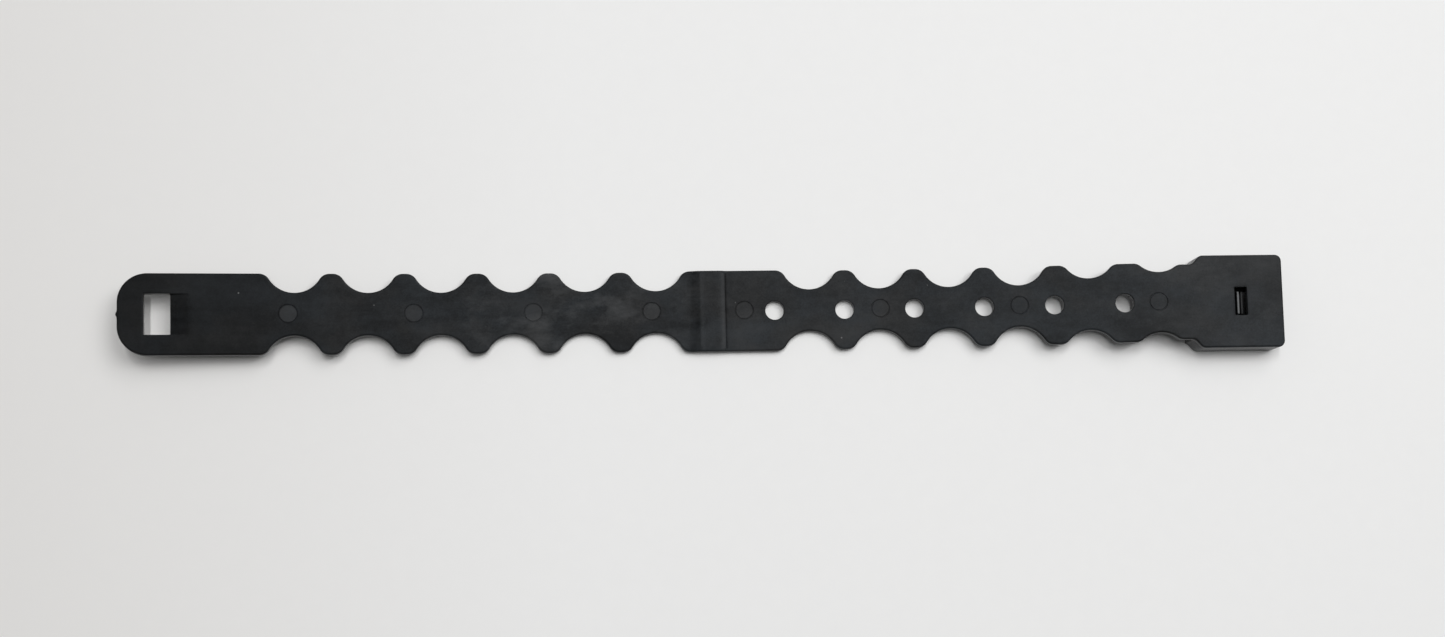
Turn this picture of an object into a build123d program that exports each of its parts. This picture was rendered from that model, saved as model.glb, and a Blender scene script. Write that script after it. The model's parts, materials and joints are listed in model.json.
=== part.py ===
"""Flexible moulded wrist strap with a box clasp.

One black conductive moulding: a tongue with a catch slot, a scalloped band with a longer panel in the
middle, and a box-shaped clasp whose outer wall carries a sprung latch arm. The band bends at its narrow
waists, so it is cut there into links. Each inner link ends in a round nose on the bending axis, and the
next link has a saddle around that nose.

Frame: +X runs along the strap to the clasp, +Y across it, +Z up from the surface it lies on. The skin
side faces up. The origin is at the middle of the strap's footprint, on that surface.
"""

from build123d import *
import math
import os

# Band, mm and degrees
THICKNESS = 1.8
LOBE_WIDTH = 17.0
WAIST_WIDTH = 9.0
PITCH = 15.0  # from one waist to the next
SCALLOP_R = 6.0
CROWN_R = 2.4  # rounding of a lobe's two shoulders
PANEL_WIDTH = 17.3
PANEL_LENGTH = 32.7  # between the two waists beside the panel
LINKS_PER_SIDE = 5
CLASP_WAIST_WIDTHS = (11.2, 13.1)  # the last two waists widen towards the clasp
HOLE_D = 4.0
SADDLE_GAP = 0.1  # radial clearance between a nose and its saddle

# Raised cross-band on the panel's skin side, along the strap from the panel's middle
RIB_FOOT = -9.4
RIB_START = -6.9
RIB_TOP_END = -2.2
RIB_END = -1.6
RIB_HEIGHT = 0.4

# How the strap lies: each waist's bend from the panel outwards, positive upwards
LEFT_RISE = (0.5, 0.8, 1.0, 1.0, 0.8, 0.5)
RIGHT_RISE = (1.2, 1.2, 1.4, 1.2, 0.6, -5.6)

# Tongue, from its outer tip
TONGUE_LENGTH = 35.3
TONGUE_CORNER_R = 6.0
SLOT_FROM_TIP = 5.25
SLOT_LENGTH = 5.2
SLOT_WIDTH = 8.5
RAMP_LENGTH = 3.8
RAMP_DEPTH = 0.9

# Clasp, measured along the strap from its own waist
CLASP_END = 26.9
CLASP_WIDTH = 20.0
CLASP_DEPTH = 6.5
NECK_WIDTH = 16.2
BOX_START = 7.2
BOX_SHOULDER = 1.75
BOX_CORNER_R = 1.4
BOX_EDGE_R = 0.35
SKIN_PLATE = 1.2
CAVITY_START = 9.2
CAVITY_HEIGHT = 2.2
CAVITY_WIDTH = 17.5
WINDOW_CENTRE = 17.6
WINDOW_LENGTH = 2.7
WINDOW_WIDTH = 6.0
RECESS_START = 9.6
RECESS_WIDTH = 12.4

# Latch arm
ARM_WIDTH = 9.0
ARM_THICKNESS = 1.2
ARM_PIVOT = 10.8
ARM_END = 26.5
ARM_GAP = 0.5
HOOK_WIDTH = 4.7
HOOK_CATCH = 17.55  # the face that holds the edge of the tongue's slot
HOOK_HEIGHT = 1.25
HOOK_TOP_END = 18.05
HOOK_TOP_DROP = 0.1
VALLEY_END = 18.4
VALLEY_HEIGHT = 0.6
RIDGE_END = 18.9
RIDGE_HEIGHT = 1.0
RAMP_END = 21.8
LIP_LENGTH = 1.8
LIP_HEIGHT = 0.4
GRIP_COUNT = 3
GRIP_PITCH = 1.1
GRIP_R = 0.25

OVERRUN = 1.0  # how far a cut starts or ends outside the material
NEAR = 1e-4

HALF = THICKNESS / 2
SKIN_Z = HALF  # skin face, from the band's mid-plane
CAVITY_TOP = SKIN_Z - SKIN_PLATE
CAVITY_FLOOR = CAVITY_TOP - CAVITY_HEIGHT
ARM_OUTER = CAVITY_FLOOR - ARM_THICKNESS
ARM_AXIS_Z = CAVITY_FLOOR - ARM_THICKNESS / 2
OUTER_Z = SKIN_Z - CLASP_DEPTH


def block(x_range, width, z_range):
    """A box centred on y = 0."""
    x0, x1 = x_range
    z0, z1 = z_range
    return Pos((x0 + x1) / 2, 0, (z0 + z1) / 2) * Box(x1 - x0, width, z1 - z0)


def cross_rod(x, z, radius, width):
    """A cylinder lying across the strap."""
    return Pos(x, 0, z) * Rot(90, 0, 0) * Cylinder(radius, width)


def band(x_range, width, waists):
    """A flat stretch of band with a pair of scallops at each (x, waist width) in waists."""
    x0, x1 = x_range
    outline = Pos((x0 + x1) / 2, 0) * Rectangle(x1 - x0, width)
    for x, waist in waists:
        for side in (-1, 1):
            outline -= Pos(x, side * (waist / 2 + SCALLOP_R)) * Circle(SCALLOP_R)
    shoulders = [v for v in outline.vertices() if abs(abs(v.Y) - width / 2) < NEAR and x0 < v.X < x1]
    outline = fillet(shoulders, CROWN_R)
    return Pos(0, 0, -HALF) * extrude(outline, THICKNESS)


def nose(x, waist):
    """The round end that the next link turns about."""
    return cross_rod(x, 0, HALF, waist)


def saddle(x):
    """What a link loses to go round its inner neighbour's nose."""
    return cross_rod(x, 0, HALF + SADDLE_GAP, LOBE_WIDTH)


def snap_hole(x):
    return Pos(x, 0, 0) * Cylinder(HOLE_D / 2, 2 * THICKNESS)


def make_link(inner_waist, outer_waist, holed):
    """One lobe, from the waist nearer the panel at x = 0 to the next one."""
    link = band((0, PITCH), LOBE_WIDTH, [(0, inner_waist), (PITCH, outer_waist)])
    link = link + nose(PITCH, outer_waist) - saddle(0)
    return link - snap_hole(PITCH / 2) if holed else link


def make_panel():
    """The long middle, with a low cross-band, and its hole one half pitch in from the clasp-side waist."""
    end = PANEL_LENGTH / 2
    panel = band((-end, end), PANEL_WIDTH, [(-end, WAIST_WIDTH), (end, WAIST_WIDTH)])
    panel = panel + nose(-end, WAIST_WIDTH) + nose(end, WAIST_WIDTH)
    rib = Polyline(
        (RIB_FOOT, SKIN_Z),
        (RIB_START, SKIN_Z + RIB_HEIGHT),
        (RIB_TOP_END, SKIN_Z + RIB_HEIGHT),
        (RIB_END, SKIN_Z),
        close=True,
    )
    panel += extrude(Plane.XZ * make_face(rib), LOBE_WIDTH / 2, both=True)
    return panel - snap_hole(end - PITCH / 2)


def make_tongue():
    """The free end, with the slot that the latch hook catches and a ramp down into it."""
    tongue = band((0, TONGUE_LENGTH), LOBE_WIDTH, [(0, WAIST_WIDTH)]) - saddle(0)
    tip_edges = tongue.edges().filter_by(Axis.Z).group_by(Axis.X)[-1]
    tongue = fillet(tip_edges, TONGUE_CORNER_R)
    slot_outer = TONGUE_LENGTH - SLOT_FROM_TIP
    slot_inner = slot_outer - SLOT_LENGTH
    tongue -= block((slot_inner, slot_outer), SLOT_WIDTH, (-THICKNESS, THICKNESS))
    ramp = Polyline(
        (slot_inner - RAMP_LENGTH, SKIN_Z),
        (slot_inner, SKIN_Z - RAMP_DEPTH),
        (slot_inner, SKIN_Z),
        close=True,
    )
    wedge = extrude(Plane.XZ * make_face(ramp), SLOT_WIDTH / 2, both=True)
    return tongue - wedge


def make_clasp():
    """Neck and box in one: skin plate with a window, cavity for the tongue, recess round the latch arm."""
    neck = band((0, BOX_START + BOX_SHOULDER), NECK_WIDTH, [(0, CLASP_WAIST_WIDTHS[1])]) - saddle(0)
    half_width = CLASP_WIDTH / 2
    profile = Polyline(
        (BOX_START, -NECK_WIDTH / 2),
        (BOX_START + BOX_SHOULDER, -half_width),
        (CLASP_END, -half_width),
        (CLASP_END, half_width),
        (BOX_START + BOX_SHOULDER, half_width),
        (BOX_START, NECK_WIDTH / 2),
        close=True,
    )
    footprint = make_face(profile)
    far_corners = [v for v in footprint.vertices() if v.X > CLASP_END - NEAR]
    footprint = fillet(far_corners, BOX_CORNER_R)
    box = Pos(0, 0, OUTER_Z) * extrude(footprint, CLASP_DEPTH)
    rims = box.edges().filter_by(Plane.XY)
    box = fillet(rims, BOX_EDGE_R)
    mouth = CLASP_END + OVERRUN
    arm_space = ARM_WIDTH + 2 * ARM_GAP
    box -= block((CAVITY_START, mouth), CAVITY_WIDTH, (CAVITY_FLOOR, CAVITY_TOP))
    box -= block((RECESS_START, mouth), RECESS_WIDTH, (OUTER_Z - OVERRUN, ARM_OUTER))
    box -= block((ARM_PIVOT, mouth), arm_space, (ARM_OUTER - OVERRUN, CAVITY_FLOOR + OVERRUN))
    box -= cross_rod(ARM_PIVOT, ARM_AXIS_Z, ARM_THICKNESS / 2 + SADDLE_GAP, arm_space)
    window_x = (WINDOW_CENTRE - WINDOW_LENGTH / 2, WINDOW_CENTRE + WINDOW_LENGTH / 2)
    window = block(window_x, WINDOW_WIDTH, (CAVITY_TOP - OVERRUN, SKIN_Z + OVERRUN))
    return neck + box - window


def make_latch():
    """The arm in the clasp's outer wall: round root, two-ridged hook, ramp and gripped lip."""
    arm = block((ARM_PIVOT, ARM_END), ARM_WIDTH, (ARM_OUTER, CAVITY_FLOOR))
    arm += cross_rod(ARM_PIVOT, ARM_AXIS_Z, ARM_THICKNESS / 2, ARM_WIDTH)
    side = Polyline(
        (HOOK_CATCH, ARM_AXIS_Z),
        (HOOK_CATCH, CAVITY_FLOOR + HOOK_HEIGHT),
        (HOOK_TOP_END, CAVITY_FLOOR + HOOK_HEIGHT - HOOK_TOP_DROP),
        (HOOK_TOP_END, CAVITY_FLOOR + VALLEY_HEIGHT),
        (VALLEY_END, CAVITY_FLOOR + VALLEY_HEIGHT),
        (VALLEY_END, CAVITY_FLOOR + RIDGE_HEIGHT),
        (RIDGE_END, CAVITY_FLOOR + RIDGE_HEIGHT),
        (RAMP_END, CAVITY_FLOOR),
        (RAMP_END, ARM_AXIS_Z),
        close=True,
    )
    arm += extrude(Plane.XZ * make_face(side), HOOK_WIDTH / 2, both=True)
    arm += block((ARM_END - LIP_LENGTH, ARM_END), ARM_WIDTH, (ARM_OUTER - LIP_HEIGHT, ARM_OUTER))
    for i in range(GRIP_COUNT):
        arm += cross_rod(ARM_END - LIP_LENGTH - (i + 1) * GRIP_PITCH, ARM_OUTER, GRIP_R, ARM_WIDTH)
    return arm


def joints_along(side, rises):
    """Each waist on one side of the panel as (x, z, slope of the link beyond it), from the panel out."""
    x, z, slope = side * PANEL_LENGTH / 2, HALF, 0.0
    found = []
    for rise in rises:
        slope += rise
        found.append((x, z, slope))
        x += side * PITCH * math.cos(math.radians(slope))
        z += PITCH * math.sin(math.radians(slope))
    return found


def beyond(joint, side):
    """The plane of the link beyond a joint, with its x outwards along the band."""
    x, z, slope = joint
    run, rise = math.cos(math.radians(slope)), math.sin(math.radians(slope))
    return Plane(origin=(x, 0, z), x_dir=(side * run, 0, rise), z_dir=(-side * rise, 0, run))


left = joints_along(-1, LEFT_RISE)
right = joints_along(1, RIGHT_RISE)
right_waists = [WAIST_WIDTH] * (LINKS_PER_SIDE - 1) + list(CLASP_WAIST_WIDTHS)

nodes = {"centre_panel": make_panel()}
for i in range(LINKS_PER_SIDE):
    nodes[f"left_link_{i + 1}"] = beyond(left[i], -1) * make_link(WAIST_WIDTH, WAIST_WIDTH, False)
    link = make_link(right_waists[i], right_waists[i + 1], True)
    nodes[f"right_link_{i + 1}"] = beyond(right[i], 1) * link
nodes["centre_panel"] = Pos(0, 0, HALF) * nodes["centre_panel"]
nodes["tongue"] = beyond(left[-1], -1) * make_tongue()
nodes["clasp_housing"] = beyond(right[-1], 1) * make_clasp()
nodes["latch_arm"] = beyond(right[-1], 1) * make_latch()

# Move the origin to the middle of the footprint
boxes = [solid.bounding_box() for solid in nodes.values()]
low_x, high_x = min(b.min.X for b in boxes), max(b.max.X for b in boxes)
shift = Pos(-(low_x + high_x) / 2, 0, -min(b.min.Z for b in boxes))
nodes = {name: shift * solid for name, solid in nodes.items()}

os.makedirs("parts", exist_ok=True)
for name, solid in nodes.items():
    export_step(solid, f"parts/{name}.step")
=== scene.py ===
"""Looks for the moulded wrist strap: one continuous flexible band over the hinged CAD links."""

import json
import math

import bmesh
import bpy
import numpy as np
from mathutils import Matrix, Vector
from mathutils.geometry import delaunay_2d_cdt


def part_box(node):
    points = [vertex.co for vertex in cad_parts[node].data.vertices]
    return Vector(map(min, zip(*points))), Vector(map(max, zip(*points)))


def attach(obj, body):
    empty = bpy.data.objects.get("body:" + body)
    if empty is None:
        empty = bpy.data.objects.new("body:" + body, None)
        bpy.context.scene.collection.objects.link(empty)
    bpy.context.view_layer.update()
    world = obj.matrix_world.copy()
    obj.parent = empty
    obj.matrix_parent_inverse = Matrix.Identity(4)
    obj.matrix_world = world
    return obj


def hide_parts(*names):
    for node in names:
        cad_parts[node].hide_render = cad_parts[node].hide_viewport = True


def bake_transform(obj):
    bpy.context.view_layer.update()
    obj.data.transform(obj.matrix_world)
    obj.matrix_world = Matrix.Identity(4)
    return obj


MM = 0.001

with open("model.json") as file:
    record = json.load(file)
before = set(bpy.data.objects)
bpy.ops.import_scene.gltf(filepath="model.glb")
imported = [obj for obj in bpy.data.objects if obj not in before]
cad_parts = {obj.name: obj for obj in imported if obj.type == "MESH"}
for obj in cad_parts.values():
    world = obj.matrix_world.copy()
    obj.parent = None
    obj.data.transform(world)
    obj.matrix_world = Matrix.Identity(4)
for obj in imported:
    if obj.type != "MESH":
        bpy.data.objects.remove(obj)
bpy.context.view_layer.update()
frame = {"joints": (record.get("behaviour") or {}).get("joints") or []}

# ---------------------------------------------------------------- sizes, mm
# The sizes down to WINDOW_HALF repeat the CAD part's. Places along the band run from the panel's middle,
# except where a comment says otherwise. The clasp's own places, from BOX_START to WINDOW_FAR, run from its
# waist, towards its mouth.
HALF = 0.9  # half the band's thickness
SCALLOP_R = 6.0
CROWN_R = 2.4
LOBE_HALF = 8.5
PANEL_HALF = 8.65
NECK_HALF = 8.1
WAIST_HALVES = {"left": [4.5] * 6, "right": [4.5] * 4 + [5.6, 6.55]}
TONGUE_LENGTH = 35.3
TIP_R = 6.0
HOLE_R = 2.0
HOLE_TO_WAIST = 7.5
SLOT_OUTER, SLOT_INNER, SLOT_HALF = 5.25, 10.45, 4.25  # the first two from the tip
RAMP_LENGTH, RAMP_DEPTH = 3.8, 0.9
BOX_START, BOX_SHOULDER, BOX_END = 7.2, 8.95, 26.9
BOX_HALF = 10.0
BOX_CORNER = 1.4
PLATE_LOW = -0.3  # underside of the clasp's skin plate, from the band's mid-plane
CAVITY_LOW = -2.5
CAVITY_START, CAVITY_HALF = 9.2, 8.75
RECESS_START, RECESS_HALF = 9.6, 6.2
HOOK_HALF, HOOK_CATCH = 2.35, 17.55
HOOK_TOP = CAVITY_LOW + 1.25
HOOK_FOOT = 21.8
ARM_OUTER = -3.7
ARM_HALF, ARM_GAP, ARM_PIVOT, ARM_END = 4.5, 0.5, 10.8, 26.5
LIP_LENGTH, LIP_HEIGHT = 1.8, 0.4
GRIP_COUNT, GRIP_PITCH, GRIP_R = 3, 1.1, 0.25
BOX_LOW = -5.6
WINDOW_NEAR, WINDOW_FAR, WINDOW_HALF = 16.25, 18.95, 3.0

# The cross-band. It rises from its foot to the start of its top, is level as far as the top's end, rounds off
# over the shoulder and drops steeply to its end. In the CAD part both sides are straight, and the top is 1 mm
# longer.
RIB_FOOT, RIB_START, RIB_TOP_END, RIB_END = -9.4, -6.9, -3.2, -1.6
RIB_HEIGHT = 0.4
RIB_STEP = 0.2  # length of the steep drop
SHOULDER_DROP = 0.2  # how far the shoulder comes down before that
START_BEAD, START_BEAD_LENGTH = 0.055, 0.35  # slight bead just before the top starts
CREVICE, CREVICE_LENGTH = 0.06, 0.06  # groove at the foot of the drop
SHOULDER, SHOULDER_SPREAD, SHOULDER_PAINTED_HIGHLIGHT = -2.15, 0.38, 0.075  # painted highlight along the shoulder's edge: place, spread, how pale

# Round marks of the mould's ejector pins: place along the band, and how much paler the disc is
EJECTORS = [
    (-92.6, 0.085), (-67.0, 0.05), (-42.2, 0.04), (-17.3, 0.07),
    (2.35, 0.04), (31.5, 0.02), (61.35, 0.012), (91.0, 0.012),
]
EJECTOR_Y = 0.1
EJECTOR_RADII = (1.72, 1.80, 1.93, 2.02)  # the disc's edge, the groove floor's two edges, the outside
EJECTOR_HEIGHTS = (-0.01, -0.02, -0.14, -0.14, 0.0)  # at the middle and at each radius
EJECTOR_DISC = 1.76  # how far the disc's paler tone reaches

EDGE_R = 0.35  # rounding of the band's rims
HOLE_EDGE = 0.13  # rounding of the holes, the slot and the window
RAMP_WALL = 0.07  # how far the ramp pocket's side walls lean
GATE_NUB, GATE_NUB_WIDTH = 0.3, 0.45  # small nub on the tip
BEND = 3.5  # half the length over which the band bends at a waist
SEAM = 4.3  # how far before a waist one piece ends and the next starts
OVERRUN = 3.0  # how far the band's line goes on past each end
TINY = 1e-6


# ---------------------------------------------------------------- where the band lies
joints = {j["name"]: j for j in frame["joints"]}


def hinge(name):
    x, _, z = joints[name]["pos_m"]
    return np.array([x, z]) / MM


def slope(a, b):
    d = b - a
    return math.atan2(d[1], d[0])


left = [hinge(f"left_link_{i}_bend") for i in range(1, 6)] + [hinge("tongue_bend")]
right = [hinge(f"right_link_{i}_bend") for i in range(1, 6)] + [hinge("clasp_housing_bend")]
middle = (left[0] + right[0]) / 2
half_panel = np.linalg.norm(right[0] - left[0]) / 2
right_s = [half_panel + sum(np.linalg.norm(right[k + 1] - right[k]) for k in range(i)) for i in range(6)]
left_s = [-half_panel - sum(np.linalg.norm(left[k + 1] - left[k]) for k in range(i)) for i in range(6)]
tongue_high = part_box("tongue")[1].z / MM
tongue_slope = -math.asin((tongue_high - left[5][1] - HALF) / TONGUE_LENGTH)
right_slopes = [slope(right[k], right[k + 1]) for k in range(5)] + [0.0]
left_slopes = [slope(left[k + 1], left[k]) for k in range(5)] + [tongue_slope]
TIP = left_s[5] - TONGUE_LENGTH
CLASP = right_s[5]


def smooth(t):
    t = np.clip(t, 0, 1)
    return t * t * (3 - 2 * t)


line_s = np.arange(TIP - OVERRUN, CLASP + BOX_END + OVERRUN, 0.05)
line_slope = np.zeros_like(line_s)
for places, slopes, side in ((right_s, right_slopes, 1), (left_s, left_slopes, -1)):
    before = 0.0
    for s_hinge, after in zip(places, slopes):
        line_slope += (after - before) * smooth(0.5 + side * (line_s - s_hinge) / (2 * BEND))
        before = after


def along(values):
    total = np.concatenate([[0], np.cumsum((values[1:] + values[:-1]) / 2 * np.diff(line_s))])
    return total - np.interp(0, line_s, total)


line_x = middle[0] + along(np.cos(line_slope))
line_z = middle[1] + along(np.sin(line_slope))


def place(flat):
    """Band coordinates (along, across, above the mid-plane) in mm to the row frame in metres."""
    s, y, z = flat[:, 0], flat[:, 1], flat[:, 2]
    turn = np.interp(s, line_s, line_slope)
    x = np.interp(s, line_s, line_x) - z * np.sin(turn)
    up = np.interp(s, line_s, line_z) + z * np.cos(turn)
    return np.stack([x, y, up], 1) * MM


# ---------------------------------------------------------------- outline of the band
def arc(centre, radius, start, end, step=0.3):
    count = max(2, int(abs(end - start) * radius / step) + 1)
    angles = np.linspace(start, end, count + 1)
    return [(centre[0] + radius * math.cos(a), centre[1] + radius * math.sin(a)) for a in angles]


def scallop(s, waist, before, after):
    """Upper edge past one waist: crown, scallop, crown. before and after are half widths."""
    centre = (s, waist + SCALLOP_R)
    found = []
    turns = []
    for side, top in ((-1, before), (1, after)):
        drop = centre[1] - (top - CROWN_R)
        run = math.sqrt((SCALLOP_R + CROWN_R) ** 2 - drop ** 2)
        turns.append((s + side * run, top - CROWN_R, math.atan2(drop, run)))
    sx, sy, tilt = turns[0]
    found += arc((sx, sy), CROWN_R, math.pi / 2, tilt)
    ex, ey, tilt_after = turns[1]
    found += arc(centre, SCALLOP_R, math.pi + tilt, 2 * math.pi - tilt_after)[1:-1]
    found += arc((ex, ey), CROWN_R, math.pi - tilt_after, math.pi / 2)
    return found


def upper_edge():
    points = [(TIP, y) for y in np.arange(0, LOBE_HALF - TIP_R, 0.3)]
    points += arc((TIP + TIP_R, LOBE_HALF - TIP_R), TIP_R, math.pi, math.pi / 2)
    widths = [LOBE_HALF] * 6 + [PANEL_HALF] + [LOBE_HALF] * 5 + [NECK_HALF]
    waists = [(s, w) for s, w in zip(left_s[::-1], WAIST_HALVES["left"])]
    waists += [(s, w) for s, w in zip(right_s, WAIST_HALVES["right"])]
    for i, (s, waist) in enumerate(waists):
        points += scallop(s, waist, widths[i], widths[i + 1])
    box = [(BOX_START - 2, NECK_HALF), (BOX_START, NECK_HALF)]
    box += [(BOX_SHOULDER, BOX_HALF), (BOX_END - 6, BOX_HALF)]
    points += [(CLASP + x, y) for x, y in round_corners(box, 0.7)]
    points += arc((CLASP + BOX_END - BOX_CORNER, BOX_HALF - BOX_CORNER), BOX_CORNER, math.pi / 2, 0, 0.15)
    points += [(CLASP + BOX_END, y) for y in np.arange(BOX_HALF - BOX_CORNER - 0.5, 0.0, -0.5)]
    return fill(points, 0.6)


def round_corners(points, radius):
    """Rounds the inner corners of an open run of points, and leaves out its two ends."""
    found = []
    for a, b, c in zip(points, points[1:], points[2:]):
        a, b, c = (np.array(p, float) for p in (a, b, c))
        u, v = (a - b) / np.linalg.norm(a - b), (c - b) / np.linalg.norm(c - b)
        for t in np.linspace(0, 1, 7):
            p = b + u * radius * (1 - t) ** 2 + v * radius * t ** 2
            found.append(tuple(p))
    return found


def fill(points, step):
    """Adds points on long runs and drops repeated ones."""
    found = [points[0]]
    for p in points[1:]:
        a = np.array(found[-1])
        d = np.array(p) - a
        length = np.linalg.norm(d)
        if length < 0.02:
            continue
        count = int(length / step) + 1
        found += [tuple(a + d * k / count) for k in range(1, count + 1)]
    return found


def outline():
    upper = np.array(upper_edge())
    lower = upper[::-1] * np.array([1, -1])
    keep = np.abs(lower[:, 1]) > TINY
    loop = np.concatenate([upper, lower[keep]])
    return loop[::-1]  # counter-clockwise


def normals_of(loop):
    """Unit normals to the right of travel: out of a counter-clockwise loop."""
    d = np.roll(loop, -1, 0) - np.roll(loop, 1, 0)
    n = np.stack([d[:, 1], -d[:, 0]], 1)
    return n / np.linalg.norm(n, axis=1)[:, None]


def circle(centre, radius, count):
    a = np.linspace(0, 2 * math.pi, count, endpoint=False)
    return np.stack([centre[0] + radius * np.cos(a), centre[1] + radius * np.sin(a)], 1)


def rectangle(s0, s1, half, step):
    corners = [(s0, -half), (s1, -half), (s1, half), (s0, half), (s0, -half)]
    return np.array(fill(corners, step)[:-1])


# ---------------------------------------------------------------- skin-side relief, mm
slot_inner = TIP + SLOT_INNER


def relief(points):
    """Height of the skin face above or below its plane."""
    s, y = points[:, 0], points[:, 1]
    h = np.zeros(len(points))
    for centre, _ in EJECTORS:
        d = np.hypot(s - centre, y - EJECTOR_Y)
        h += np.interp(d, (0,) + EJECTOR_RADII, EJECTOR_HEIGHTS)
    rise = RIB_HEIGHT * smooth((s - RIB_FOOT) / (RIB_START - RIB_FOOT))
    rise += START_BEAD * np.exp(-((s - RIB_START) / START_BEAD_LENGTH) ** 2)
    fall_start = RIB_END - RIB_STEP
    shoulder = RIB_HEIGHT - SHOULDER_DROP * ((s - RIB_TOP_END) / (fall_start - RIB_TOP_END)) ** 2
    fallen = np.clip(1 - ((s - fall_start) / (RIB_END - fall_start)) ** 2, 0, 1)
    fall = np.sqrt(fallen) * (RIB_HEIGHT - SHOULDER_DROP)
    stretches = [s < RIB_START, s < RIB_TOP_END, s < fall_start, s < RIB_END]
    h += np.select(stretches, [rise, RIB_HEIGHT, shoulder, fall], 0)
    h -= CREVICE * np.exp(-((s - RIB_END - 0.04) / CREVICE_LENGTH) ** 2)
    depth = RAMP_DEPTH * np.clip(1 - (s - slot_inner) / RAMP_LENGTH, 0, 1)
    wall = np.clip((SLOT_HALF - np.abs(y)) / RAMP_WALL, 0, 1)
    h -= np.where(s < slot_inner - 0.2, 0, depth) * wall
    return h


# ---------------------------------------------------------------- one closed mesh for band and skin plate
def inside(points, loop):
    """Which points lie inside a closed loop."""
    result = np.zeros(len(points), bool)
    a, b = loop, np.roll(loop, -1, 0)
    for k in range(0, len(points), 4000):
        p = points[k:k + 4000]
        crosses = (a[None, :, 1] > p[:, None, 1]) != (b[None, :, 1] > p[:, None, 1])
        gap = np.where(np.abs(b[:, 1] - a[:, 1]) < 1e-12, 1e-12, b[:, 1] - a[:, 1])  # never divides by zero
        at = a[:, 0] + (p[:, None, 1] - a[:, 1]) / gap * (b[:, 0] - a[:, 0])
        result[k:k + 4000] = (crosses & (p[:, None, 0] < at)).sum(1) % 2 == 1
    return result


def away_from(points, others, gap):
    keep = np.ones(len(points), bool)
    for k in range(0, len(points), 500):
        d = np.hypot(*(points[k:k + 500, None] - others[None]).transpose(2, 0, 1))
        keep[k:k + 500] = d.min(1) > gap
    return keep


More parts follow.
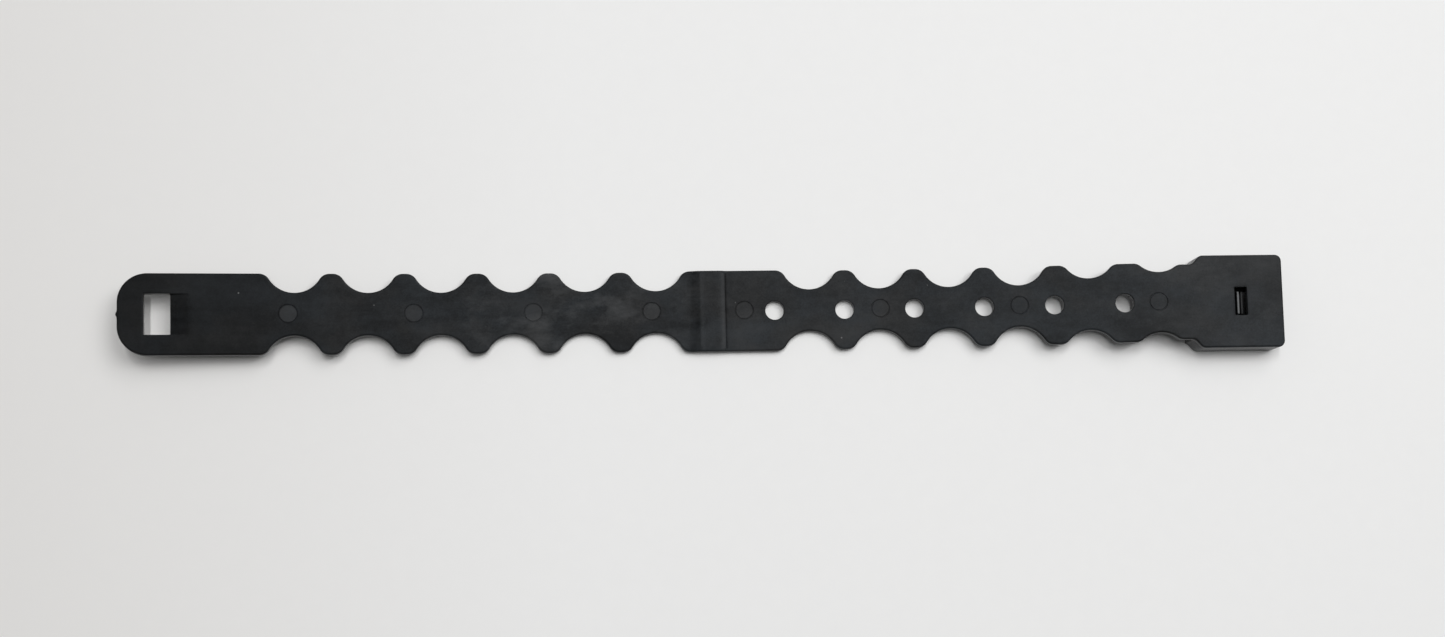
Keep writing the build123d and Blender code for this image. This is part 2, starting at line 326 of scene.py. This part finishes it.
def band_mesh():
    """The band and the clasp's skin plate, laid flat, as one closed mesh in band coordinates."""
    edge = outline()
    edge_n = normals_of(edge)
    nub = GATE_NUB * np.exp(-(edge[:, 1] / GATE_NUB_WIDTH) ** 2) * (edge[:, 0] < TIP + 0.1)
    hole_s = [right_s[0] - HOLE_TO_WAIST] + [s + HOLE_TO_WAIST for s in right_s[:5]]
    loops = [(edge - edge_n * EDGE_R, edge_n, EDGE_R, nub)]
    for s in hole_s:
        ring = circle((s, 0), HOLE_R, 48)[::-1]
        n = normals_of(ring)
        loops.append((ring - n * HOLE_EDGE, n, HOLE_EDGE, np.zeros(len(ring))))
    openings = [
        (TIP + SLOT_OUTER, slot_inner, SLOT_HALF),
        (CLASP + WINDOW_NEAR, CLASP + WINDOW_FAR, WINDOW_HALF),
    ]
    for s0, s1, half in openings:
        ring = rectangle(s0, s1, half, 0.35)[::-1]
        n = normals_of(ring)
        loops.append((ring - n * HOLE_EDGE, n, HOLE_EDGE, np.zeros(len(ring))))

    points, edges = [], []

    def add(run, closed):
        start = len(points)
        points.extend(map(tuple, run))
        count = len(run)
        edges.extend((start + k, start + (k + 1) % count) for k in range(count if closed else count - 1))
        return list(range(start, start + count))

    loop_ids = [add(ring, True) for ring, _, _, _ in loops]
    add(loops[0][0] - loops[0][1] * 0.12, True)
    for ring, n, r, _ in loops[1:7]:
        add(ring - n * 0.1, True)
    for centre, _ in EJECTORS:
        for radius in EJECTOR_RADII:
            add(circle((centre, EJECTOR_Y), radius, 56), True)
    rising = [RIB_FOOT, -8.6, -7.8, -7.2, RIB_START - 0.25, RIB_START, RIB_START + 0.3]
    falling = [RIB_TOP_END, -2.9, -2.6, -2.3, -2.05, -1.8, -1.74, -1.67, -1.62, RIB_END, -1.56, -1.5, -1.4]
    for s in rising + falling:
        add([(s, y) for y in np.arange(-7.9, 7.91, 0.79)], False)
    for side in (-1, 1):
        for half in (SLOT_HALF - RAMP_WALL, SLOT_HALF):
            ramp_s = np.linspace(slot_inner + 0.3, slot_inner + RAMP_LENGTH, 8)
            add([(s, side * half) for s in ramp_s], False)
    add([(slot_inner + RAMP_LENGTH, y) for y in np.linspace(-4.1, 4.1, 12)], False)

    fixed = np.array(points)
    grid_s = np.arange(TIP + 0.8, CLASP + BOX_END - 0.5, 0.8)
    grid_y = np.arange(-9.45, 9.5, 0.9)
    grid = np.array([(s, y) for s in grid_s for y in grid_y])
    grid = grid[inside(grid, loops[0][0])]
    for ring, _, _, _ in loops[1:]:
        grid = grid[~inside(grid, ring)]
    grid = grid[away_from(grid, fixed, 0.3)]
    points.extend(map(tuple, grid))

    verts, _, faces, origin, _, _ = delaunay_2d_cdt([Vector(p) for p in points], edges, [], 0, 1e-5)
    flat = np.array([tuple(v) for v in verts])
    index_of = {k: new for new, olds in enumerate(origin) for k in olds}
    faces = np.array([f[:] for f in faces])
    centres = flat[faces].mean(1)
    keep = inside(centres, loops[0][0])
    for ring, _, _, _ in loops[1:]:
        keep &= ~inside(centres, ring)
    faces = faces[keep]

    bm = bmesh.new()
    used = np.unique(faces)
    high = relief(flat)
    top, low = {}, {}
    for k in used:
        s, y = flat[k]
        top[k] = bm.verts.new((s, y, HALF + high[k]))
        under = PLATE_LOW if s > CLASP + BOX_START + TINY else -HALF
        low[k] = bm.verts.new((s, y, under))
    for f in faces:
        bm.faces.new([top[k] for k in f])
        bm.faces.new([low[k] for k in reversed(f)])
    quarter = [math.radians(a) for a in (30, 60, 90)]
    for (ring, n, r, extra), ids in zip(loops, loop_ids):
        keys = [index_of[k] for k in ids]
        columns = []
        for key, normal, more in zip(keys, n, extra):
            start, end = top[key].co, low[key].co
            column = [top[key]]
            for a in quarter:
                out = normal * (r + more) * math.sin(a)
                z = start.z - r * (1 - math.cos(a))
                column.append(bm.verts.new((start.x + out[0], start.y + out[1], z)))
            plate = start.x > CLASP + BOX_START + TINY and r == EDGE_R
            for a in quarter[::-1]:
                out = normal * (r + more) * (1 if plate else math.sin(a))
                lift = 0.02 * (1 - math.cos(a)) if plate else r * (1 - math.cos(a))
                column.append(bm.verts.new((start.x + out[0], start.y + out[1], end.z + lift)))
            column.append(low[key])
            columns.append(column)
        for a, b in zip(columns, columns[1:] + columns[:1]):
            for k in range(len(a) - 1):
                bm.faces.new((a[k], b[k], b[k + 1], a[k + 1]))
    bmesh.ops.recalc_face_normals(bm, faces=bm.faces)
    return bm


def pale_marks_and_painted_highlights(flat):
    """How pale the plastic is painted: a little on the ejector discs, and painted highlights a little on the
    cross-band's shoulder and most on the latch hook's two ridges."""
    s, y, z = flat.T
    on_shoulder = (np.abs(y) < 8.0) * (z > HALF + 0.1)
    # painted highlight: a pale line along the cross-band's shoulder
    pale = SHOULDER_PAINTED_HIGHLIGHT * np.exp(-((s - SHOULDER) / SHOULDER_SPREAD) ** 2) * on_shoulder
    for centre, amount in EJECTORS:
        disc = (np.hypot(s - centre, y - EJECTOR_Y) < EJECTOR_DISC) & (z > HALF - 0.3)
        pale[disc] = amount
    catch = CLASP + HOOK_CATCH
    on_hook = (np.abs(y) < HOOK_HALF + 0.1) & (s > catch - 0.1)
    # painted highlights: the hook's tall ridge fully pale, its low ridge partly
    pale[on_hook & (s < catch + 0.6) & (z > HOOK_TOP - 0.1)] = 1.0
    pale[on_hook & (s > catch + 0.9) & (s < catch + 1.3) & (z > HOOK_TOP - 0.3)] = 0.3
    return pale


def mesh_object(name, bm, sharp=40):
    """Turns a mesh in band coordinates, mm, into an object at rest that remembers those coordinates."""
    mesh = bpy.data.meshes.new(name)
    bm.to_mesh(mesh)
    bm.free()
    flat = np.array([v.co for v in mesh.vertices], float).reshape(-1, 3)
    stored = mesh.attributes.new("flat_pos", "FLOAT_VECTOR", "POINT")
    stored.data.foreach_set("vector", flat.astype(np.float32).ravel())
    paler = mesh.attributes.new("pale_marks_and_painted_highlights", "FLOAT", "POINT")
    paler.data.foreach_set("value", pale_marks_and_painted_highlights(flat).astype(np.float32))
    mesh.vertices.foreach_set("co", place(flat).astype(np.float32).ravel())
    mesh.polygons.foreach_set("use_smooth", [True] * len(mesh.polygons))
    mesh.set_sharp_from_angle(angle=math.radians(sharp))
    mesh.update()
    obj = bpy.data.objects.new(name, mesh)
    bpy.context.scene.collection.objects.link(obj)
    return obj


def cut(source, s0, s1):
    """The stretch of a flat mesh between two places along the band, closed at its cuts."""
    bm = source.copy()
    for s, outwards in ((s0, -1), (s1, 1)):
        if s is None:
            continue
        geom = list(bm.verts) + list(bm.edges) + list(bm.faces)
        bmesh.ops.bisect_plane(
            bm, geom=geom, dist=1e-5, plane_co=(s, 0, 0), plane_no=(outwards, 0, 0), clear_outer=True)
        rim = [e for e in bm.edges if e.is_boundary]
        bmesh.ops.holes_fill(bm, edges=rim, sides=0)
    bmesh.ops.recalc_face_normals(bm, faces=bm.faces)
    return bm


def bend_between(obj):
    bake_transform(obj)


whole = band_mesh()
pieces = []
panel = mesh_object("band_panel", cut(whole, left_s[0] + SEAM, right_s[0] - SEAM))
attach(panel, "centre_panel")
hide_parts("centre_panel")
pieces.append(panel)
for side, places, last in ((-1, left_s, "tongue"), (1, right_s, "clasp_housing")):
    word = "left" if side < 0 else "right"
    bodies = ["centre_panel"] + [f"{word}_link_{i}" for i in range(1, 6)] + [last]
    for i, s in enumerate(places):
        near = s - side * SEAM
        far = None if i == 5 else places[i + 1] - side * SEAM
        low_s, high_s = (near, far) if side > 0 else (far, near)
        name = "clasp_skin" if bodies[i + 1] == "clasp_housing" else f"band_{bodies[i + 1]}"
        obj = mesh_object(name, cut(whole, low_s, high_s))
        bend_between(obj)
        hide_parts(bodies[i + 1])
        pieces.append(obj)
whole.free()


# ---------------------------------------------------------------- clasp box under the skin plate
def prism(outline_points, z0, z1, round_low=0.0):
    """A closed prism of a loop of points, with an optional rounded lower rim."""
    loop = np.array(outline_points, float)
    n = normals_of(loop)
    bm = bmesh.new()
    layers = [(0.0, z1)]
    if round_low:
        layers += [(round_low * (1 - math.sin(a)), z0 + round_low * (1 - math.cos(a))) for a in
                   [math.radians(d) for d in (90, 60, 30)]]
        layers.append((round_low, z0))
    else:
        layers.append((0.0, z0))
    rings = []
    for inset, z in layers:
        rings.append([bm.verts.new((p[0] - m[0] * inset, p[1] - m[1] * inset, z)) for p, m in zip(loop, n)])
    for upper, lower in zip(rings, rings[1:]):
        for k in range(len(loop)):
            j = (k + 1) % len(loop)
            bm.faces.new((upper[k], lower[k], lower[j], upper[j]))
    bm.faces.new(rings[0])
    bm.faces.new(rings[-1][::-1])
    bmesh.ops.recalc_face_normals(bm, faces=bm.faces)
    return bm


def scratch_object(name, bm):
    mesh = bpy.data.meshes.new(name)
    bm.to_mesh(mesh)
    bm.free()
    obj = bpy.data.objects.new(name, mesh)
    bpy.context.scene.collection.objects.link(obj)
    return obj


def combine(base, others, operation):
    """Boolean of base with each of the others, applied."""
    for other in others:
        mod = base.modifiers.new("join", "BOOLEAN")
        mod.operation = operation
        mod.solver = "EXACT"
        mod.object = other
    applied(base)
    for other in others:
        bpy.data.objects.remove(other)


def applied(obj):
    evaluated = obj.evaluated_get(bpy.context.evaluated_depsgraph_get())
    mesh = bpy.data.meshes.new_from_object(evaluated)
    obj.modifiers.clear()
    obj.data = mesh


def brick(x0, x1, half, z0, z1):
    return prism([(x0, -half), (x1, -half), (x1, half), (x0, half)], z0, z1)


def rod(x, z, radius, half, count=24):
    """A closed round bar across the strap."""
    bm = bmesh.new()
    ends = []
    for y in (-half, half):
        ends.append([bm.verts.new((x + radius * math.cos(a), y, z + radius * math.sin(a)))
                     for a in np.linspace(0, 2 * math.pi, count, endpoint=False)])
    for k in range(count):
        j = (k + 1) % count
        bm.faces.new((ends[0][k], ends[0][j], ends[1][j], ends[1][k]))
    bm.faces.new(ends[0][::-1])
    bm.faces.new(ends[1])
    bmesh.ops.recalc_face_normals(bm, faces=bm.faces)
    return bm


def extrude_profile(points, half):
    """A closed bar whose (along, up) profile is extended across the strap."""
    bm = bmesh.new()
    sides = [[bm.verts.new((x, y, z)) for x, z in points] for y in (-half, half)]
    for k in range(len(points)):
        j = (k + 1) % len(points)
        bm.faces.new((sides[0][k], sides[0][j], sides[1][j], sides[1][k]))
    bm.faces.new(sides[0][::-1])
    bm.faces.new(sides[1])
    bmesh.ops.recalc_face_normals(bm, faces=bm.faces)
    return bm


def finish_solid(obj, bevel, sharp=35, angle=50):
    """Small rounded edges, then into band coordinates at the clasp and to rest."""
    if bevel:
        mod = obj.modifiers.new("edges", "BEVEL")
        mod.width = bevel
        mod.segments = 2
        mod.limit_method = "ANGLE"
        mod.angle_limit = math.radians(angle)
        mod.use_clamp_overlap = True
        applied(obj)
    bm = bmesh.new()
    bm.from_mesh(obj.data)
    bmesh.ops.remove_doubles(bm, verts=bm.verts, dist=0.001)
    bmesh.ops.dissolve_degenerate(bm, edges=bm.edges, dist=0.001)
    bmesh.ops.recalc_face_normals(bm, faces=bm.faces)
    bmesh.ops.translate(bm, verts=bm.verts, vec=(CLASP, 0, 0))
    name = obj.name
    bpy.data.objects.remove(obj)
    return mesh_object(name.replace("raw_", ""), bm, sharp=sharp)


box_edge = [p for p in outline() if p[0] > CLASP + BOX_START - 0.4]
box_edge = np.array([(p[0] - CLASP, p[1]) for p in box_edge])
box_middle = 16  # a place well inside the box, to sort the edge's points around
around = np.argsort(np.arctan2(box_edge[:, 1], box_edge[:, 0] - box_middle))
box_edge = box_edge[around]
shell = scratch_object("raw_clasp_box", prism(box_edge, BOX_LOW, PLATE_LOW, 0.5))
mouth = BOX_END + 1
arm_axis = (CAVITY_LOW + ARM_OUTER) / 2
arm_r = (CAVITY_LOW - ARM_OUTER) / 2
cutters = [
    brick(CAVITY_START, mouth, CAVITY_HALF, CAVITY_LOW, PLATE_LOW + 1),
    brick(RECESS_START, mouth, RECESS_HALF, BOX_LOW - 1, ARM_OUTER),
    brick(ARM_PIVOT - 0.35, mouth, ARM_HALF + ARM_GAP, ARM_OUTER - 0.5, CAVITY_LOW + 0.5),
]
combine(shell, [scratch_object(f"cutter_{k}", bm) for k, bm in enumerate(cutters)], "DIFFERENCE")
clasp_box = finish_solid(shell, 0.12)
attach(clasp_box, "clasp_housing")
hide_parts("clasp_housing")
pieces.append(clasp_box)

# ---------------------------------------------------------------- latch arm with its two-ridged hook
arm = scratch_object("raw_latch", brick(ARM_PIVOT, ARM_END, ARM_HALF, ARM_OUTER, CAVITY_LOW))
tall_ridge = [(0, -0.2), (0.06, -0.07), (0.17, 0), (0.36, -0.02), (0.47, -0.11), (0.52, -0.3)]
valley = [(0.57, -0.64), (0.8, -0.66)]
low_ridge = [(0.87, -0.38), (0.97, -0.26), (1.2, -0.26), (1.36, -0.36)]
hook = [(HOOK_CATCH, arm_axis)]
hook += [(HOOK_CATCH + x, HOOK_TOP + z) for x, z in tall_ridge + valley + low_ridge]
hook += [(HOOK_FOOT, CAVITY_LOW), (HOOK_FOOT, arm_axis)]
lip_start = ARM_END - LIP_LENGTH
parts = [
    rod(ARM_PIVOT, arm_axis, arm_r, ARM_HALF),
    extrude_profile(hook, HOOK_HALF),
    brick(lip_start, ARM_END, ARM_HALF, ARM_OUTER - LIP_HEIGHT, ARM_OUTER + 0.3),
]
for i in range(GRIP_COUNT):
    parts.append(rod(lip_start - GRIP_PITCH * (i + 1), ARM_OUTER, GRIP_R, ARM_HALF - 0.3, 16))
combine(arm, [scratch_object(f"part_{k}", bm) for k, bm in enumerate(parts)], "UNION")
latch = finish_solid(arm, 0.07)
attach(latch, "latch_arm")
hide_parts("latch_arm")
pieces.append(latch)


# ---------------------------------------------------------------- materials
class Nodes:
    """Short calls for building a node tree."""

    def __init__(self, material):
        material.use_nodes = True
        self.tree = material.node_tree
        self.tree.nodes.clear()

    def make(self, kind, **values):
        node = self.tree.nodes.new(kind)
        for key, value in values.items():
            setattr(node, key, value)
        return node

    def join(self, a, b):
        self.tree.links.new(a, b)

    def feed(self, socket, value):
        """Links another node's output to a socket, or sets the socket's own value."""
        if hasattr(value, "is_output"):
            self.join(value, socket)
        else:
            socket.default_value = value

    def set(self, node, **inputs):
        for key, value in inputs.items():
            self.feed(node.inputs[key.replace("_", " ")], value)
        return node

    def place(self, scale=(1, 1, 1), offset=(0, 0, 0)):
        """Band coordinates in mm, scaled and moved."""
        source = self.make("ShaderNodeAttribute", attribute_name="flat_pos")
        mapping = self.make("ShaderNodeMapping")
        self.set(mapping, Vector=source.outputs["Vector"], Scale=scale, Location=offset)
        return mapping.outputs["Vector"]

    def noise(self, scale, detail=4.0, rough=0.55, stretch=(1, 1, 1), offset=(0, 0, 0)):
        node = self.make("ShaderNodeTexNoise")
        self.set(node, Vector=self.place(stretch, offset), Scale=scale, Detail=detail, Roughness=rough)
        return node.outputs["Fac"]

    def ramp(self, fac, low, high, a=0.0, b=1.0):
        node = self.make("ShaderNodeMapRange")
        self.set(node, Value=fac, From_Min=low, From_Max=high, To_Min=a, To_Max=b)
        return node.outputs["Result"]

    def math(self, operation, a, b):
        node = self.make("ShaderNodeMath", operation=operation)
        for socket, value in zip(node.inputs, (a, b)):
            self.feed(socket, value)
        return node.outputs["Value"]

    def mix(self, fac, a, b):
        node = self.make("ShaderNodeMix", data_type="RGBA")
        self.join(fac, node.inputs["Factor"])
        for socket, value in ((node.inputs["A"], a), (node.inputs["B"], b)):
            self.feed(socket, value)
        return node.outputs["Result"]


def grey(value, warm=0.0):
    return (value * (1 + warm), value, value * (1 - warm), 1.0)


def moulded(name, dark, light, roughness, painted_sheen_strength):
    """Carbon-loaded plastic: flow streaks, fine grain, dust, paler ejector discs, glossier side walls, and
    painted light: a sheen near the panel, shade towards the tip and highlights on the shoulder and the hook's
    ridges.
    """
    material = bpy.data.materials.new(name)
    n = Nodes(material)
    shader = n.make("ShaderNodeBsdfPrincipled")
    out = n.make("ShaderNodeOutputMaterial")
    n.join(shader.outputs["BSDF"], out.inputs["Surface"])
    spot = n.make("ShaderNodeSeparateXYZ")
    n.join(n.place(), spot.inputs["Vector"])
    grain = n.noise(5.5, 3.0, 0.6)

    cloud = n.noise(0.055, 5.0, 0.6, (1, 1.6, 1))
    streak = n.noise(0.35, 4.0, 0.6, (0.16, 1.5, 1), (3, 5, 0))
    mottle = n.noise(0.9, 3.0, 0.5, (1, 1, 1), (7, 1, 2))
    fleck = n.noise(2.6, 3.0, 0.7, (1, 1, 1), (4, 6, 1))
    tone = n.math("ADD", n.math("MULTIPLY", cloud, 0.4), n.math("MULTIPLY", streak, 0.2))
    tone = n.math("ADD", tone, n.math("MULTIPLY", mottle, 0.15))
    tone = n.math("ADD", tone, n.math("MULTIPLY", fleck, 0.25))
    cool = n.mix(n.ramp(tone, 0.42, 0.58), grey(dark, -0.08), grey(light, -0.12))
    warm = n.mix(n.ramp(tone, 0.42, 0.58), grey(dark, 0.02), grey(light, 0.0))
    warmth = n.noise(0.09, 3.0, 0.5, (1, 1.3, 1), (1, 8, 3))
    base = n.mix(n.ramp(warmth, 0.42, 0.60), cool, warm)
    # painted shade: darker towards the tip, from the fourth waist on
    base = n.mix(n.ramp(spot.outputs["X"], TIP, left_s[3], 0.6, 0.0), base, grey(dark * 0.5, 0.02))

    # painted sheen: pale blotches for the lamp's reflection on the wavy skin, strongest on the tongue side of
    # the panel
    fade_in = n.ramp(spot.outputs["X"], -66, -46)
    fade_out = n.ramp(spot.outputs["X"], -24, -8, 1.0, 0.25)
    near_panel = n.math("MULTIPLY", fade_in, fade_out)
    painted_sheen = n.ramp(n.noise(0.11, 5.0, 0.65, (0.8, 1.4, 1), (11, 4, 0)), 0.50, 0.72)
    painted_sheen = n.math("MULTIPLY", n.math("MULTIPLY", painted_sheen, near_panel), painted_sheen_strength)
    base = n.mix(painted_sheen, base, grey(0.058, -0.02))

    dust = n.make("ShaderNodeTexVoronoi", feature="F1")
    n.set(dust, Vector=n.place((1, 1, 1), (0.3, 0.8, 0)), Scale=0.55, Randomness=1.0)
    speck = n.ramp(dust.outputs["Distance"], 0.0, 0.12, 1.0, 0.0)
    chosen = n.ramp(n.noise(0.42, 1.0, 0.5, (1, 1, 1), (2, 9, 4)), 0.66, 0.68)
    base = n.mix(n.math("MULTIPLY", n.math("MULTIPLY", speck, chosen), 0.7), base, grey(0.30))

    # paler ejector discs, and painted highlights on the cross-band's shoulder and the hook's ridges
    pale = n.make("ShaderNodeAttribute", attribute_name="pale_marks_and_painted_highlights")
    base = n.mix(pale.outputs["Fac"], base, grey(0.20, -0.02))

    waves = n.noise(0.22, 2.0, 0.5, (1, 1, 1), (5, 5, 5))
    height = n.math("ADD", n.math("MULTIPLY", grain, 0.45), n.math("MULTIPLY", waves, 1.2))
    bump = n.make("ShaderNodeBump")
    n.set(bump, Strength=0.4, Distance=0.00012, Height=height)
    n.set(shader, Base_Color=base, Normal=bump.outputs["Normal"])
    uneven = n.math("ADD", n.math("MULTIPLY", streak, 0.5), n.math("MULTIPLY", grain, 0.5))
    skin = n.ramp(uneven, 0.3, 0.7, roughness - 0.07, roughness + 0.09)
    side_wall = 0.27
    n.set(shader, Roughness=n.ramp(spot.outputs["Z"], HALF - 0.6, HALF - 0.2, side_wall, skin))
    shader.inputs["IOR"].default_value = 1.48
    shader.inputs["Specular IOR Level"].default_value = 0.28
    shader.inputs["Specular Tint"].default_value = (0.90, 0.95, 1.0, 1.0)
    return material


band_material = moulded("moulded_band", 0.0045, 0.0210, 0.46, 0.8)
# The same plastic throughout: the clasp's copy is painted darker to take down the window lamp's highlight on
# it, and the latch's copy is painted shade for its place deep inside the window.
clasp_material = moulded("moulded_clasp", 0.0050, 0.0140, 0.45, 0.2)
latch_material = moulded("moulded_latch", 0.0040, 0.0080, 0.34, 0.1)
for obj in pieces:
    obj.data.materials.clear()
    material = {"latch": latch_material, "clasp_box": clasp_material}.get(obj.name, band_material)
    obj.data.materials.append(material)


# ---------------------------------------------------------------- table, light, camera
def table_top(size=3.0):
    """A plain pale table of half width size, in metres, with painted shade making it slightly darker towards
    the tongue.
    """
    mesh = bpy.data.meshes.new("table")
    corners = [(-size, -size, 0), (size, -size, 0), (size, size, 0), (-size, size, 0)]
    mesh.from_pydata(corners, [], [(0, 1, 2, 3)])
    obj = bpy.data.objects.new("table", mesh)
    bpy.context.scene.collection.objects.link(obj)
    material = bpy.data.materials.new("pale_table")
    n = Nodes(material)
    shader = n.make("ShaderNodeBsdfPrincipled")
    out = n.make("ShaderNodeOutputMaterial")
    n.join(shader.outputs["BSDF"], out.inputs["Surface"])
    coords = n.make("ShaderNodeTexCoord")
    split = n.make("ShaderNodeSeparateXYZ")
    n.join(coords.outputs["Object"], split.inputs["Vector"])
    shade = n.ramp(split.outputs["X"], -0.15, -0.03)
    mixed = n.mix(shade, (0.80, 0.79, 0.775, 1), (0.87, 0.87, 0.865, 1))
    grain = n.make("ShaderNodeTexNoise")
    n.set(grain, Vector=coords.outputs["Object"], Scale=260.0, Detail=3.0, Roughness=0.6)
    soft = n.mix(n.ramp(grain.outputs["Fac"], 0.3, 0.7, 0.0, 0.05), mixed, (0.70, 0.70, 0.70, 1))
    n.join(soft, shader.inputs["Base Color"])
    shader.inputs["Roughness"].default_value = 0.7
    shader.inputs["Specular IOR Level"].default_value = 0.2
    obj.data.materials.append(material)


def soft_light(name, location, size, power, target=(0.0, 0.0, 0.0)):
    """A rectangular lamp, size (across, along) in metres, aimed at target."""
    data = bpy.data.lights.new(name, "AREA")
    data.shape = "RECTANGLE"
    data.size, data.size_y = size
    data.energy = power
    obj = bpy.data.objects.new(name, data)
    obj.location = location
    direction = Vector(target) - Vector(location)
    obj.rotation_euler = direction.to_track_quat("-Z", "Y").to_euler()
    bpy.context.scene.collection.objects.link(obj)
    return obj


table_top()
tubes = [
    soft_light("ceiling_tube", (-0.09, 0.15, 1.10), (0.05, 0.60), 4.7, (-0.09, 0.0, 0.0)),
    soft_light("side_tube", (0.45, 0.17, 1.00), (0.05, 0.55), 1.5),
]
for tube in tubes:
    tube.visible_glossy = False
soft_light("window", (0.36, 0.33, 0.85), (0.7, 0.6), 3.7)


def soft_room(darkest, brightest):
    """A white room whose light grows from -Y to +Y."""
    world = bpy.data.worlds.new("soft_room")
    bpy.context.scene.world = world
    world.use_nodes = True
    tree = world.node_tree
    background = tree.nodes["Background"]
    facing = tree.nodes.new("ShaderNodeTexCoord")
    direction = tree.nodes.new("ShaderNodeSeparateXYZ")
    level = tree.nodes.new("ShaderNodeMapRange")
    tree.links.new(facing.outputs["Generated"], direction.inputs["Vector"])
    tree.links.new(direction.outputs["Y"], level.inputs["Value"])
    for name, value in (("From Min", -0.7), ("From Max", 0.3), ("To Min", darkest), ("To Max", brightest)):
        level.inputs[name].default_value = value
    tree.links.new(level.outputs["Result"], background.inputs["Strength"])
    background.inputs["Color"].default_value = (1.0, 1.0, 1.0, 1.0)


def camera_above():
    """Nearly straight down, from a little to the near side. The shift keeps cross lines nearly parallel."""
    data = bpy.data.cameras.new("camera")
    data.sensor_width = 36
    data.lens = 44.844
    data.shift_y = 0.091
    data.clip_start = 0.01
    data.clip_end = 20
    obj = bpy.data.objects.new("camera", data)
    obj.location = (-0.0284, -0.0614, 0.3782)
    obj.rotation_euler = [math.radians(a) for a in (4.933, -4.372, -1.449)]
    bpy.context.scene.collection.objects.link(obj)
    bpy.context.scene.camera = obj


soft_room(0.06, 0.26)
camera_above()
bpy.context.scene.view_settings.view_transform = "Standard"
